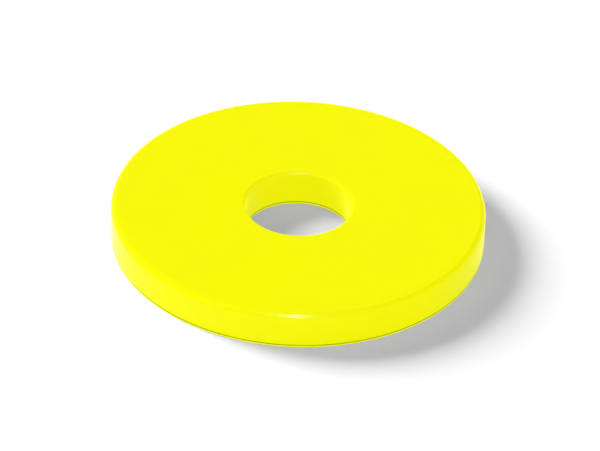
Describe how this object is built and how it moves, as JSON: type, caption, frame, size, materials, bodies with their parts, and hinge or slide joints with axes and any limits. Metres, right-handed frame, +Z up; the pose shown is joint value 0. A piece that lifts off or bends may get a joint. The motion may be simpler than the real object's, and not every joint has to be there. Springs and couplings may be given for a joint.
{
  "type": "juggling ring",
  "caption": "Thick hollow juggling ring: a smooth round disc with a small hand hole, rounded top edges and a fine joint line low on the rim and in the hole.",
  "frame": {"origin": "centre of the ring's underside, on the plane that it rests on", "axes": "+Z up through the centre hole, away from the underside towards the rounded top face; the ring is round about Z, and a rim screw lies on +X"},
  "size_m": [0.32, 0.32, 0.033],
  "materials": {
    "ring_plastic": "fluorescent yellow, smooth satin gloss",
    "white_foam": "closed-cell foam, cut edges",
    "screw_steel": "zinc plated",
    "plug_rubber": "soft matt"
  },
  "bodies": {
    "root": {"upper_shell": "ring_plastic", "lower_shell": "ring_plastic", "foam_core": "white_foam", "shell_screws": "screw_steel", "screw_plugs": "plug_rubber"}
  },
  "joints": []
}
